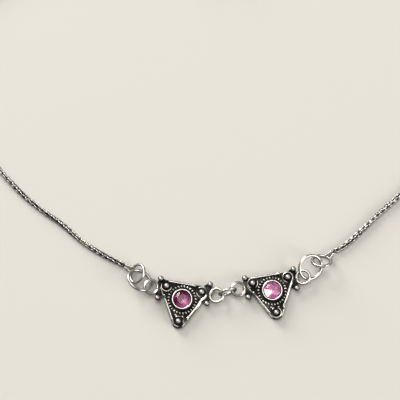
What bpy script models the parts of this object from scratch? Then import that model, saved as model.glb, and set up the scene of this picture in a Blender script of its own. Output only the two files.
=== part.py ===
"""Payal anklet of oxidised silver: two triangular ornaments with round stones, linked by jump rings
to a fine chain that closes behind with an S-shaped hook. It lies flat, with Z up, in metres."""

import math

import bmesh
import bpy
from mathutils import Matrix, Vector
from mathutils.geometry import convex_hull_2d, interpolate_bezier

# Ornament plate, seen from above with its point down
TRIANGLE_WIDTH = 0.00705  # between the two upper corner balls
TRIANGLE_HEIGHT = 0.0065  # from their line down to the lower corner ball
PLATE_THICKNESS = 0.001
PLATE_MARGIN = 0.00135  # plate edge outside the corner balls' centres

# Balls, curled border wires and granules
CORNER_BALL = 0.00128
BALL_REST = 0.0003  # height of a ball's centre over the plate
CURL_RADIUS = 0.001
CURL_WIRE = 0.00036
CURL_SWEEP = math.radians(280)
CURL_END_GAP = 0.0006  # cut end of a wire short of the next curl
CURL_SINK = 0.00004
FLANK_BALL = 0.0011
FLANK_REACH = 0.00136  # beyond the corner ball, along the row of rings
FLANK_SPREAD = 0.00192
TAB_MARGIN = 0.00036
GRANULE = 0.00052

# Beaded ring, bezel and stone
BEAD_COUNT = 28
BEAD_RING_RADIUS = 0.00266
BEAD_LENGTH = 0.00056
BEAD_WIDTH = 0.0004
STONE_DIAMETER = 0.00345
STONE_CLEARANCE = 0.0001
STONE_FLOOR = 0.00014  # from the plate to the stone's point
CULET_DEPTH = 0.00075
GIRDLE_HEIGHT = 0.0001
CROWN_HEIGHT = 0.0005
TABLE_SHARE = 0.6
CROWN_SIDES = 8
BEZEL_WALL = 0.0003
BEZEL_LIP = 0.00018
BEZEL_HEIGHT = 0.0013
BEZEL_LIP_HEIGHT = 0.00025
BEZEL_SINK = 0.0002

# Rings
SMALL_RING_RADIUS = 0.001325
SMALL_RING_WIRE = 0.00055
SMALL_RING_SEAT = 0.00034  # ring's soldered side beyond the flanking balls
SMALL_RING_PITCH = math.radians(12)
MIDDLE_LINK_RADIUS = 0.00165
MIDDLE_LINK_WIRE = 0.00055
JUMP_RING_RADIUS = 0.00241
JUMP_RING_WIRE = 0.00058
END_LOOP_RADIUS = 0.00185
END_LOOP_WIRE = 0.00056
RING_SIDES = 16
WIRE_SIDES = 6

# Chain, its soldered ends and the hook
CHAIN_DIAMETER = 0.00105
CHAIN_SPACING = 0.0028
CHAIN_END_GAP = 0.0001
CONE_LENGTH = 0.0014
CONE_SMALL_RADIUS = 0.00052
CONE_BIG_RADIUS = 0.00066
CONE_OVERRUN = 0.00012
HOOK_WIRE = 0.0008
HOOK_EYE_RADIUS = 0.0014
HOOK_EYE_SPREAD = 0.002
HOOK_OPENING = math.radians(55)
HOOK_CLEARANCE = 0.00015

# The middle link stands here, and the loop's box is centred on the origin.
MIDDLE_LINK_PLACE = Vector((0.00427, -0.03265, 0))
ROW_BEARING = math.radians(16.2)
MIDDLE_LINK_LEAN = math.radians(6)

# Shares of the two ring radii between the centres of rings that interlock
MIDDLE_SPREAD = 0.7487
MOTIFS = (
    {"side": "left", "row": -1, "turn": -10, "inner_drop": 0.02, "outer_drop": 0.105},
    {"side": "right", "row": 1, "turn": 10, "inner_drop": 0.10, "outer_drop": 0.083},
)
JUMP_RINGS = {
    "left": {"bearing": 151.0, "spread": 0.68, "tilt": 38.7, "low_side": 46.0},
    "right": {"bearing": 53.5, "spread": 0.643, "tilt": 34.0, "low_side": -45.0},
}
END_LOOPS = {
    "left": {
        "bearing": 110.4, "spread": 0.343, "tilt": 42.5, "low_side": 166.3, "joint": -20.0, "cone": 150.0,
    },
    "right": {
        "bearing": 29.8, "spread": 0.595, "tilt": 46.0, "low_side": 90.0, "joint": -44.0, "cone": 46.0,
    },
}
# Granules beside the lower corner, as shares of the corner ball
GRANULES = ((-0.55, 0.86), (0.5, 0.82), (1.36, 0.5))

# Route of each chain from its front end to the hook, in millimetres from the middle link
CHAIN_ROUTES = {
    "left": (
        (-25.1, 7.9), (-29.2, 10.6), (-32.8, 13.75), (-36.85, 16.6), (-40.4, 19.45), (-43.3, 22.4),
        (-45.5, 24.85), (-50.7, 31.3), (-54.4, 42.8), (-52.9, 54.8), (-43.4, 65.3), (-27.4, 69.8),
    ),
    "right": (
        (23.1, 9.3), (26.7, 12.5), (30.3, 15.95), (34.4, 19.6), (41.6, 26.8), (45.6, 37.8),
        (45.1, 50.8), (38.6, 61.8), (24.6, 68.8),
    ),
}
HOOK_PLACE = Vector((-0.0044, 0.0706, 0))  # from the middle link

SILVER = {"color": (0.62, 0.60, 0.55), "roughness": 0.25, "metallic": 1.0}
DARK_SILVER = {"color": (0.16, 0.155, 0.15), "roughness": 0.4, "metallic": 1.0}
RUBY = {"color": (0.42, 0.02, 0.17), "roughness": 0.08, "metallic": 0.0}


def clear_scene():
    for obj in list(bpy.data.objects):
        bpy.data.objects.remove(obj)


def new_collection(name):
    collection = bpy.data.collections.new(name)
    bpy.context.scene.collection.children.link(collection)
    return collection


def new_material(name, finish):
    material = bpy.data.materials.new(name)
    material.use_nodes = True
    shader = material.node_tree.nodes["Principled BSDF"]
    shader.inputs["Base Color"].default_value = (*finish["color"], 1)
    shader.inputs["Roughness"].default_value = finish["roughness"]
    shader.inputs["Metallic"].default_value = finish["metallic"]
    return material


def new_object(name, mesh, collection):
    obj = bpy.data.objects.new(name, mesh)
    collection.objects.link(obj)
    return obj


def mesh_of(name, build, matrix=Matrix.Identity(4)):
    """A mesh that build fills in a bmesh, moved by matrix, with smooth sides and sharp edges."""
    work = bmesh.new()
    build(work)
    work.transform(matrix)
    bmesh.ops.recalc_face_normals(work, faces=work.faces)
    mesh = bpy.data.meshes.new(name)
    work.to_mesh(mesh)
    work.free()
    mesh.shade_smooth()
    mesh.set_sharp_from_angle(angle=math.radians(40))
    return mesh


def finished(obj, material):
    obj.data.materials.clear()
    obj.data.materials.append(material)
    return obj


def add_shape(obj, mesh, shapes):
    """One more shape soldered to obj by a Boolean union."""
    shape = new_object(mesh.name, mesh, shapes)
    hide_helper(shape)
    join = obj.modifiers.new(mesh.name, "BOOLEAN")
    join.operation = "UNION"
    join.solver = "EXACT"
    join.object = shape


def hide_helper(obj):
    obj.hide_render = True
    obj.display_type = "WIRE"


def flat_turn(angle):
    return Matrix.Rotation(angle, 4, "Z")


def toward(angle):
    return Vector((math.cos(angle), math.sin(angle), 0))


def ring_matrix(centre, tilt, low_side):
    """A flat ring tilted about its middle, with its low side at the bearing low_side."""
    return Matrix.Translation(centre) @ flat_turn(low_side) @ Matrix.Rotation(tilt, 4, "Y")


def resting_height(radius, wire, tilt):
    """Height of a tilted ring's centre when its low side touches the surface."""
    return wire / 2 + radius * math.sin(tilt)


def torus_mesh(name, radius, wire, matrix):
    bpy.ops.mesh.primitive_torus_add(
        major_segments=RING_SIDES, minor_segments=WIRE_SIDES, major_radius=radius, minor_radius=wire / 2
    )
    torus = bpy.context.active_object
    mesh = torus.data
    bpy.data.objects.remove(torus)
    mesh.name = name
    mesh.transform(matrix)
    mesh.shade_smooth()
    return mesh


def ball_mesh(name, centre, size, sides, rings, turn=0.0):
    """A sphere stretched to the three sizes and turned about Z."""

    def build(work):
        bmesh.ops.create_uvsphere(work, u_segments=sides, v_segments=rings, radius=0.5)

    matrix = Matrix.Translation(centre) @ flat_turn(turn) @ Matrix.Diagonal((*size, 1))
    return mesh_of(name, build, matrix)


def slab_mesh(name, points, bottom, top):
    """The convex outline around points, as an upright slab."""
    hull = [points[i] for i in convex_hull_2d(points)]

    def build(work):
        face = work.faces.new([work.verts.new((x, y, bottom)) for x, y in hull])
        grown = bmesh.ops.extrude_face_region(work, geom=[face])["geom"]
        raised = [item for item in grown if isinstance(item, bmesh.types.BMVert)]
        bmesh.ops.translate(work, vec=(0, 0, top - bottom), verts=raised)

    return mesh_of(name, build)


def circle_points(centre, radius, count=16):
    steps = [toward(index * math.tau / count) * radius for index in range(count)]
    return [(centre[0] + step.x, centre[1] + step.y) for step in steps]


def tube_object(name, points, diameter, sides, collection):
    """A wire along points, as a curve with a bevel and filled caps."""
    curve = bpy.data.curves.new(name, "CURVE")
    curve.dimensions = "3D"
    curve.bevel_depth = diameter / 2
    curve.bevel_resolution = (sides - 4) // 2
    curve.use_fill_caps = True
    spline = curve.splines.new("POLY")
    spline.points.add(len(points) - 1)
    for point, place in zip(spline.points, points):
        point.co = (*place, 1)
    return new_object(name, curve, collection)


def tube_mesh(name, points, diameter, sides, collection):
    """The same wire as a closed mesh, for a Boolean."""
    curve = tube_object(name, points, diameter, sides, collection)
    graph = bpy.context.evaluated_depsgraph_get()
    mesh = bpy.data.meshes.new_from_object(curve.evaluated_get(graph))
    bpy.data.objects.remove(curve)
    work = bmesh.new()
    work.from_mesh(mesh)
    bmesh.ops.remove_doubles(work, verts=work.verts, dist=1e-6)
    bmesh.ops.recalc_face_normals(work, faces=work.faces)
    work.to_mesh(mesh)
    work.free()
    mesh.name = name
    return mesh


def smooth_route(points, spacing):
    """Even points along the smooth curve through points, with Bezier handles of a third of a span."""
    dense = []
    for index in range(len(points) - 1):
        before = points[max(index - 1, 0)]
        start, end = points[index], points[index + 1]
        after = points[min(index + 2, len(points) - 1)]
        span = (end - start).length / 3
        leave = start + (end - before).normalized() * span
        arrive = end - (after - start).normalized() * span
        dense += interpolate_bezier(start, leave, arrive, end, 40)[:-1]
    dense.append(points[-1])
    length = sum((b - a).length for a, b in zip(dense, dense[1:]))
    count = max(2, round(length / spacing))
    even, walked = [dense[0]], 0.0
    for a, b in zip(dense, dense[1:]):
        step = (b - a).length
        while len(even) < count and walked + step >= len(even) * length / count:
            even.append(a.lerp(b, (len(even) * length / count - walked) / step))
        walked += step
    even.append(dense[-1])
    return even


def corner_places():
    """The corner balls' centres, clockwise from the upper left, around the triangle's middle."""
    return (
        Vector((-TRIANGLE_WIDTH / 2, TRIANGLE_HEIGHT / 3, 0)),
        Vector((TRIANGLE_WIDTH / 2, TRIANGLE_HEIGHT / 3, 0)),
        Vector((0, -TRIANGLE_HEIGHT * 2 / 3, 0)),
    )


def tab_place(side, drop):
    """Middle of the two flanking balls on the left (-1) or right (1) tab."""
    return Vector((side * (TRIANGLE_WIDTH / 2 + FLANK_REACH), TRIANGLE_HEIGHT * (1 / 3 - drop), 0))


def small_ring_place(side, drop):
    reach = SMALL_RING_SEAT + SMALL_RING_RADIUS * math.cos(SMALL_RING_PITCH)
    rise = PLATE_THICKNESS + SMALL_RING_RADIUS * math.sin(SMALL_RING_PITCH)
    return tab_place(side, drop) + Vector((side * reach, 0, rise))


def curl_points(corner, next_corner):
    """A wire curled clockwise round one corner ball that runs on straight to just short of the next curl."""
    along = (next_corner - corner).normalized()
    outward = math.atan2(along.y, along.x) + math.pi / 2
    height = Vector((0, 0, PLATE_THICKNESS + CURL_WIRE / 2 - CURL_SINK))
    steps = 12
    turns = [outward + CURL_SWEEP * (1 - step / steps) for step in range(steps + 1)]
    curl = [corner + toward(turn) * CURL_RADIUS for turn in turns]
    run = (next_corner - corner).length - CURL_RADIUS - CURL_END_GAP
    return [point + height for point in (*curl, curl[-1] + along * run)]


def bezel_profile():
    """The bezel wall's section in the XZ plane, down its outer side and up its inner one."""
    inner = STONE_DIAMETER / 2 + STONE_CLEARANCE
    outer = inner + BEZEL_WALL
    top = PLATE_THICKNESS + BEZEL_HEIGHT
    bottom = PLATE_THICKNESS - BEZEL_SINK
    return (
        (outer - BEZEL_LIP, top), (outer, top - BEZEL_LIP), (outer, bottom), (inner, bottom),
        (inner, top - BEZEL_LIP_HEIGHT), (inner - BEZEL_LIP, top),
    )


def bezel_object(name, collection):
    mesh = bpy.data.meshes.new(name)
    section = [(x, 0, z) for x, z in bezel_profile()]
    mesh.from_pydata(section, [(i, (i + 1) % len(section)) for i in range(len(section))], [])
    obj = new_object(name, mesh, collection)
    turn = obj.modifiers.new("turn", "SCREW")
    turn.steps = turn.render_steps = 24
    turn.use_merge_vertices = True
    turn.merge_threshold = 0.00001
    return obj


def stone_mesh(name):
    """A round cut stone as the hull of its culet, girdle and table."""
    culet = PLATE_THICKNESS + STONE_FLOOR
    girdle = culet + CULET_DEPTH
    table = girdle + GIRDLE_HEIGHT + CROWN_HEIGHT
    radius = STONE_DIAMETER / 2

    def build(work):
        work.verts.new((0, 0, culet))
        for height, reach, sides in (
            (girdle, radius, 2 * CROWN_SIDES),
            (girdle + GIRDLE_HEIGHT, radius, 2 * CROWN_SIDES),
            (table, radius * TABLE_SHARE, CROWN_SIDES),
        ):
            for step in range(sides):
                work.verts.new(toward(step * math.tau / sides) * reach + Vector((0, 0, height)))
        bmesh.ops.convex_hull(work, input=work.verts)

    mesh = mesh_of(name, build)
    mesh.shade_flat()
    return mesh


def build_motif(row, parts, shapes, silver):
    """One ornament around its triangle's middle, soldered from a plate, wires, balls, bezel and rings."""
    name = "motif_" + row["side"]
    corners = corner_places()
    tabs = {row["row"]: row["outer_drop"], -row["row"]: row["inner_drop"]}
    outline = [point for corner in corners for point in circle_points(corner, PLATE_MARGIN, 20)]
    motif = new_object(name, slab_mesh(name, outline, 0, PLATE_THICKNESS), parts)

    top = PLATE_THICKNESS + BALL_REST
    for side, drop in tabs.items():
        middle = tab_place(side, drop)
        flanks = [middle + Vector((0, step * FLANK_SPREAD, 0)) for step in (-1, 1)]
        corner = corners[0] if side < 0 else corners[1]
        seat = middle + Vector((side * SMALL_RING_SEAT, 0, 0))
        web = circle_points(corner, CURL_RADIUS) + circle_points(seat, TAB_MARGIN)
        for flank in flanks:
            web += circle_points(flank, TAB_MARGIN)
        add_shape(motif, slab_mesh(f"{name}_tab_{side}", web, 0, PLATE_THICKNESS), shapes)
        for index, flank in enumerate(flanks):
            place = flank + Vector((0, 0, top))
            ball = ball_mesh(f"{name}_flank_{side}_{index}", place, (FLANK_BALL,) * 3, 10, 8)
            add_shape(motif, ball, shapes)
        pose = ring_matrix(
            small_ring_place(side, drop), SMALL_RING_PITCH, math.pi if side > 0 else 0.0
        )
        ring = torus_mesh(f"{name}_ring_{side}", SMALL_RING_RADIUS, SMALL_RING_WIRE, pose)
        add_shape(motif, ring, shapes)

    for index, corner in enumerate(corners):
        place = corner + Vector((0, 0, top))
        add_shape(motif, ball_mesh(f"{name}_ball_{index}", place, (CORNER_BALL,) * 3, 12, 8), shapes)
        wire = curl_points(corner, corners[(index + 1) % 3])
        add_shape(motif, tube_mesh(f"{name}_curl_{index}", wire, CURL_WIRE, 6, shapes), shapes)
    for index, (across, up) in enumerate(GRANULES):
        place = corners[2] + Vector((across * CORNER_BALL, up * CORNER_BALL, PLATE_THICKNESS))
        add_shape(motif, ball_mesh(f"{name}_granule_{index}", place, (GRANULE,) * 3, 10, 6), shapes)
    for index in range(BEAD_COUNT):
        angle = index * math.tau / BEAD_COUNT
        place = toward(angle) * BEAD_RING_RADIUS + Vector((0, 0, PLATE_THICKNESS + BEAD_WIDTH / 4))
        size = (BEAD_LENGTH, BEAD_WIDTH, BEAD_WIDTH)
        add_shape(motif, ball_mesh(f"{name}_bead_{index}", place, size, 10, 6, angle), shapes)

    bezel = bezel_object(name + "_bezel", shapes)
    hide_helper(bezel)
    join = motif.modifiers.new("bezel", "BOOLEAN")
    join.operation = "UNION"
    join.object = bezel
    return finished(motif, silver)


def place_motif(row, motif, stone, inner_ring):
    """Turns an ornament and sets it where its inner soldered ring lies."""
    turn = flat_turn(math.radians(row["turn"]))
    inner = turn @ small_ring_place(-row["row"], row["inner_drop"])
    centre = Vector((inner_ring.x - inner.x, inner_ring.y - inner.y, 0))
    for obj in (motif, stone):
        obj.matrix_world = Matrix.Translation(centre) @ turn
    return centre + turn @ small_ring_place(row["row"], row["outer_drop"])


def add_ring(name, centre, radius, wire, tilt, low_side, collection, silver):
    place = Vector((centre.x, centre.y, resting_height(radius, wire, tilt)))
    mesh = torus_mesh(name, radius, wire, ring_matrix(place, tilt, low_side))
    return finished(new_object(name, mesh, collection), silver)


def add_chain_end(name, centre, tilt, low_side, joint, cone, parts, shapes, silver):
    """A loop with a cone soldered to it at the angle joint from its low side, and where the chain starts."""
    place = Vector((centre.x, centre.y, resting_height(END_LOOP_RADIUS, END_LOOP_WIRE, tilt)))
    pose = ring_matrix(place, tilt, low_side)
    loop = new_object(name, torus_mesh(name, END_LOOP_RADIUS, END_LOOP_WIRE, pose), parts)
    big_end = pose @ (toward(joint) * END_LOOP_RADIUS)
    big_end.z = CONE_BIG_RADIUS
    small_end = big_end + toward(cone) * CONE_LENGTH
    small_end.z = max(CHAIN_DIAMETER / 2, CONE_SMALL_RADIUS)
    axis = small_end - big_end

    def build(work):
        bmesh.ops.create_cone(
            work, cap_ends=True, segments=12, radius1=CONE_BIG_RADIUS, radius2=CONE_SMALL_RADIUS,
            depth=axis.length + CONE_OVERRUN,
        )

    middle = (big_end + small_end - axis.normalized() * CONE_OVERRUN) / 2
    matrix = Matrix.Translation(middle) @ axis.to_track_quat("Z", "Y").to_matrix().to_4x4()
    add_shape(loop, mesh_of(name + "_cone", build, matrix), shapes)
    finished(loop, silver)
    start = small_end + toward(cone) * CHAIN_END_GAP
    return Vector((start.x, start.y, CHAIN_DIAMETER / 2))


def add_chain(side, start, end, parts, dark):
    height = CHAIN_DIAMETER / 2
    middle = [
        MIDDLE_LINK_PLACE + Vector((x / 1000, y / 1000, height)) for x, y in CHAIN_ROUTES[side]
    ]
    points = smooth_route([start, *middle, end], CHAIN_SPACING)
    return finished(tube_object("chain_" + side, points, CHAIN_DIAMETER, 8, parts), dark)


def hook_points(centre):
    """An S of two round eyes, open on opposite sides and joined across the middle."""
    height = END_LOOP_WIRE + HOOK_CLEARANCE + HOOK_WIRE / 2
    eye = Vector((-HOOK_EYE_SPREAD, 0, height))
    steps = 10
    sweep = 3 * math.pi / 2 - HOOK_OPENING
    half = [eye + toward(HOOK_OPENING + sweep * step / steps) * HOOK_EYE_RADIUS for step in range(steps + 1)]
    turned = [Vector((-point.x, -point.y, point.z)) for point in reversed(half)]
    return [centre + point for point in (*half, *turned)]


def build_row(parts, shapes, silver, ruby):
    """The middle link, ornaments, jump rings and front chain ends. Returns where each chain starts."""
    across = ROW_BEARING - math.pi / 2
    add_ring(
        "middle_link", MIDDLE_LINK_PLACE, MIDDLE_LINK_RADIUS, MIDDLE_LINK_WIRE,
        math.pi / 2 - MIDDLE_LINK_LEAN, across, parts, silver,
    )
    half_gap = MIDDLE_SPREAD * (MIDDLE_LINK_RADIUS + SMALL_RING_RADIUS)
    starts = {}
    for row in MOTIFS:
        side = row["side"]
        motif = build_motif(row, parts, shapes, silver)
        stone = finished(new_object("stone_" + side, stone_mesh("stone_" + side), parts), ruby)
        inner_ring = MIDDLE_LINK_PLACE + toward(ROW_BEARING) * half_gap * row["row"]
        small_ring = place_motif(row, motif, stone, inner_ring)
        for shape in shapes.objects:
            if shape.name.startswith(motif.name):
                shape.matrix_world = motif.matrix_world @ shape.matrix_world

        jump = JUMP_RINGS[side]
        gap = jump["spread"] * (SMALL_RING_RADIUS + JUMP_RING_RADIUS)
        jump_centre = small_ring + toward(math.radians(jump["bearing"])) * gap
        add_ring(
            "jump_ring_" + side, jump_centre, JUMP_RING_RADIUS, JUMP_RING_WIRE,
            math.radians(jump["tilt"]), math.radians(jump["low_side"]), parts, silver,
        )
        loop = {key: math.radians(value) for key, value in END_LOOPS[side].items() if key != "spread"}
        gap = END_LOOPS[side]["spread"] * (JUMP_RING_RADIUS + END_LOOP_RADIUS)
        starts[side] = add_chain_end(
            f"chain_end_{side}_front", jump_centre + toward(loop["bearing"]) * gap, loop["tilt"],
            loop["low_side"], loop["joint"], loop["cone"], parts, shapes, silver,
        )
    return starts


def build_back(parts, shapes, silver):
    """The hook and the upright chain ends that hang on it. Returns where each chain ends."""
    centre = MIDDLE_LINK_PLACE + HOOK_PLACE
    finished(tube_object("clasp_hook", hook_points(centre), HOOK_WIRE, 8, parts), silver)
    hook_height = END_LOOP_WIRE + HOOK_CLEARANCE + HOOK_WIRE / 2
    loop_height = resting_height(END_LOOP_RADIUS, END_LOOP_WIRE, math.pi / 2)
    reach = math.sqrt(END_LOOP_RADIUS**2 - (loop_height - hook_height) ** 2)
    inside = HOOK_EYE_SPREAD + HOOK_EYE_RADIUS - HOOK_WIRE / 2 - HOOK_CLEARANCE - END_LOOP_WIRE / 2
    joint = math.acos((loop_height - CONE_BIG_RADIUS) / END_LOOP_RADIUS)
    ends = {}
    for side, sign in (("left", -1), ("right", 1)):
        place = centre + Vector((sign * (inside + reach), 0, 0))
        cone = math.pi if sign < 0 else 0.0
        ends[side] = add_chain_end(
            f"chain_end_{side}_back", place, math.pi / 2, math.pi / 2, -sign * joint, cone,
            parts, shapes, silver,
        )
    return ends


def main():
    clear_scene()
    parts = new_collection("payal_anklet")
    shapes = new_collection("soldered_shapes")
    silver = new_material("silver", SILVER)
    dark = new_material("oxidised_silver", DARK_SILVER)
    ruby = new_material("ruby", RUBY)
    starts = build_row(parts, shapes, silver, ruby)
    ends = build_back(parts, shapes, silver)
    for side in ("left", "right"):
        add_chain(side, starts[side], ends[side], parts, dark)


main()
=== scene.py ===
"""Looks of an oxidised silver anklet: two triangular ornaments with cut stones, jump rings, loop-in-loop
chain and an S-shaped hook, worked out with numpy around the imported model. Lengths are in metres."""

import math

import bpy
import numpy as np
from bpy.props import FloatProperty, FloatVectorProperty, IntProperty, PointerProperty
from bpy.types import Operator, Panel, PropertyGroup
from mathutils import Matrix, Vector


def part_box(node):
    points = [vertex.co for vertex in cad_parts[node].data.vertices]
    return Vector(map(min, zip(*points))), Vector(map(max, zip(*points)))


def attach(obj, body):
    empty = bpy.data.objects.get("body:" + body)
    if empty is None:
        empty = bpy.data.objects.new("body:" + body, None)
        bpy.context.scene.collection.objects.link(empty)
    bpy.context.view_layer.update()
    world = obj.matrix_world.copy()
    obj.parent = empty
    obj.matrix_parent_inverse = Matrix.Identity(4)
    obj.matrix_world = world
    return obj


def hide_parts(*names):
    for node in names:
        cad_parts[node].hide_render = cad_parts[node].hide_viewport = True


bl_info = {
    "name": "Silver anklet",
    "version": (1, 0, 0),
    "blender": (4, 5, 0),
    "location": "3D View > Sidebar > Anklet",
    "description": "Oxidised silver anklet with cut stones, jump rings and a loop-in-loop chain",
    "category": "Object",
}

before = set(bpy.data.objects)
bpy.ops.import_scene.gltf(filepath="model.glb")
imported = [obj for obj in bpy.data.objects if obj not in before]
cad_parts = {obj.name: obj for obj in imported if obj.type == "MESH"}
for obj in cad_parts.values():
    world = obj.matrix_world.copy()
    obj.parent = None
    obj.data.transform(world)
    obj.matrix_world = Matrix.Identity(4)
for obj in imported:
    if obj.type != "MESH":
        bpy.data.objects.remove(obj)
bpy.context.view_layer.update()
SIDES = {"left": -1, "right": 1}
UP = np.array((0.0, 0.0, 1.0))
TURN = 2 * math.pi

# Lie of the rings and ornaments, as in the solids: angles in degrees, drops as shares of the height
MIDDLE_LINK_PLACE = np.array((0.00427, -0.03265, 0.0))
ROW_BEARING = 16.2
ORNAMENTS = {
    "left": {"turn": -10, "inner_drop": 0.02, "outer_drop": 0.105},
    "right": {"turn": 10, "inner_drop": 0.10, "outer_drop": 0.083},
}
RING_POSES = {
    "jump_ring_left": {"tilt": 38.7, "low_side": 46.0, "cut": 250.0},
    "jump_ring_right": {"tilt": 34.0, "low_side": -45.0, "cut": 120.0},
    "middle_link": {"tilt": 84.0, "low_side": ROW_BEARING - 90, "cut": 10.0},
}
END_SPREADS = {"left": 0.343, "right": 0.595}
END_BEARINGS = {"left": 110.4, "right": 29.8}
END_POSES = {
    "chain_end_left_front": {"tilt": 42.5, "low_side": 166.3, "joint": -20.0, "cone": 150.0},
    "chain_end_right_front": {"tilt": 46.0, "low_side": 90.0, "joint": -44.0, "cone": 46.0},
}
# Granules beside the lower corner, as shares of the corner ball
GRANULES = ((-0.55, 0.86), (0.5, 0.82), (1.36, 0.5))
# A tab's faces inside the plate's, below and above
TAB_INSETS = (0.00002, 0.00003)
# Lump of solder on a soldered ring, and its rise over the wire's middle
SOLDER_LUMP = (0.0005, 0.0007, 0.0006)
SOLDER_RISE = 0.00012

# Route of each chain from its front end to the hook, in millimetres from the middle link
CHAIN_ROUTES = {
    "left": (
        (-25.1, 7.9), (-29.2, 10.6), (-32.8, 13.75), (-36.85, 16.6), (-40.4, 19.45), (-43.3, 22.4),
        (-45.5, 24.85), (-50.7, 31.3), (-54.4, 42.8), (-52.9, 54.8), (-43.4, 65.3), (-27.4, 69.8),
    ),
    "right": (
        (23.1, 9.3), (26.7, 12.5), (30.3, 15.95), (34.4, 19.6), (41.6, 26.8), (45.6, 37.8),
        (45.1, 50.8), (38.6, 61.8), (24.6, 68.8),
    ),
}

# How far each silver piece is blackened, and how far its sides get painted shade and its top a painted
# highlight: see silver_finish
SILVERS = {
    "dark plate": {"rub": (0.4, 1.05), "flank": (-0.3, 0.6), "patchy": 0.4, "blotches": 600},
    "border wire": {"flank": (-0.2, 0.5), "patchy": 0.7, "blotches": 700},
    "ball work": {"rub": (0.1, 1.2), "flank": (0.5, 1.0), "polish": 0.26},
    "bead work": {"rub": (0.4, 1.0), "polish": 0.25, "patchy": 0.8, "blotches": 800},
    "bright work": {"flank": (0.7, 1.0), "patchy": 0.6, "blotches": 350},
    "round wire": {"hollow_and_shade": "tarnish_and_shade", "flank": (0.4, 0.98), "polish": 0.24},
    "links": {"rub": (0.14, 0.6), "flank": (0.2, 0.85), "polish": 0.2},
}

# Each stone's material, then its foil's tints, the lit bearing of its painted glint with spread and fade, its
# dullness and its painted glow
STONES = {
    "left": {"slot": "ruby_stone", "tint": "ruby", "lit": (315.0, 60.0, 110.0), "dull": 0.5, "glow": 0.2},
    "right": {"slot": "pink_stone", "tint": "pink", "lit": (207.0, 36.0, 14.0), "dull": 1.0, "glow": 0.7},
}

# Stage: each lamp's place, width and power, then the sky, the floor and the camera
LAMPS = {
    "overhead": ((-0.24, 0.4, 1.44), 1.1, 11.0),
    "window": ((-0.9, 1.27, 0.6), 0.9, 28.0),
    "reflector": ((1.2, -0.5, 0.6), 0.8, 10.0),
}
LAMP_COLOUR = (1.0, 0.985, 0.955)
SKY_COLOUR = (0.97, 0.98, 1.0, 1)
SKY_STRENGTH = 0.12
FLOOR_REACH = 4.0
CAMERA_PLACE = (-0.00114, -0.08658, 0.34235)
CAMERA_TILT = 12
CAMERA_SENSOR, CAMERA_LENS = 36, 157.5


# Sizes and colours that a user may change

def length(name, default, description):
    """A size in metres."""
    return FloatProperty(
        name=name, description=description, default=default, min=0.0, precision=5,
        subtype="DISTANCE", unit="LENGTH",
    )


def share(name, default, description):
    """A plain number, usually from 0 to 1."""
    return FloatProperty(name=name, description=description, default=default, precision=3, subtype="FACTOR")


def angle(name, degrees, description):
    """An angle given in degrees and kept in radians."""
    return FloatProperty(
        name=name, description=description, default=math.radians(degrees), subtype="ANGLE", unit="ROTATION"
    )


def colour(name, default, description):
    return FloatVectorProperty(
        name=name, description=description, default=default, size=3, min=0.0, max=1.0, subtype="COLOR"
    )


class OrnamentSizes(PropertyGroup):
    width: length("Width", 0.00705, "Between the two upper corner balls")
    height: length("Height", 0.0065, "From the upper balls' line to the lower ball")
    plate: length("Plate thickness", 0.001, "Thickness of the plate under the ornament")
    margin: length("Plate margin", 0.00133, "Plate edge outside the corner balls' centres")
    edge: length("Edge rounding", 0.00014, "Rounding of the plate's edges")
    corner_ball: length("Corner ball", 0.00128, "Diameter of the three corner balls")
    ball_rest: length("Ball rest", 0.0003, "Height of a ball's centre over the plate")
    curl_radius: length("Curl radius", 0.001, "Radius of a border wire's curl round its ball")
    curl_wire: length("Border wire", 0.00036, "Diameter of the border wires")
    curl_sweep: angle("Curl sweep", 280, "How far a border wire runs round its ball")
    curl_end_gap: length("Wire end gap", 0.0006, "A wire's cut end short of the next curl")
    flank_ball: length("Flank ball", 0.0011, "Diameter of the balls beside the soldered rings")
    flank_reach: length("Flank reach", 0.00136, "Flank balls beyond the corner ball, along the row")
    flank_spread: length("Flank spread", 0.00192, "Flank balls from the row's line")
    tab_margin: length("Tab margin", 0.00036, "Tab edge outside the flank balls' centres")
    granule: length("Granule", 0.00052, "Diameter of the granules at the lower corner")
    bead_count: IntProperty(name="Beads", description="Beads in the ring round the bezel", default=28, min=8)
    bead_ring: length("Bead ring radius", 0.00266, "Radius of the ring of beads")
    bead_length: length("Bead length", 0.00056, "Length of a bead, outwards")
    bead_width: length("Bead width", 0.00038, "Width of a bead")
    bezel_wall: length("Bezel wall", 0.0003, "Thickness of the bezel's wall")
    bezel_lip: length("Bezel lip", 0.00018, "Reach of the bezel's lip over the stone")
    bezel_height: length("Bezel height", 0.0013, "Height of the bezel over the plate")


class StoneSizes(PropertyGroup):
    diameter: length("Diameter", 0.00345, "Diameter of the round cut stones")
    clearance: length("Clearance", 0.0001, "Gap between a stone and its bezel")
    floor: length("Floor", 0.00014, "From the plate to the stone's point")
    culet: length("Pavilion depth", 0.00075, "From the point up to the girdle")
    girdle: length("Girdle", 0.0001, "Height of the girdle")
    crown: length("Crown", 0.0005, "From the girdle up to the table")
    table: share("Table", 0.6, "Table's diameter as a share of the stone's")
    mains: IntProperty(name="Main facets", description="Main facets round the crown", default=8, min=6)


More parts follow.
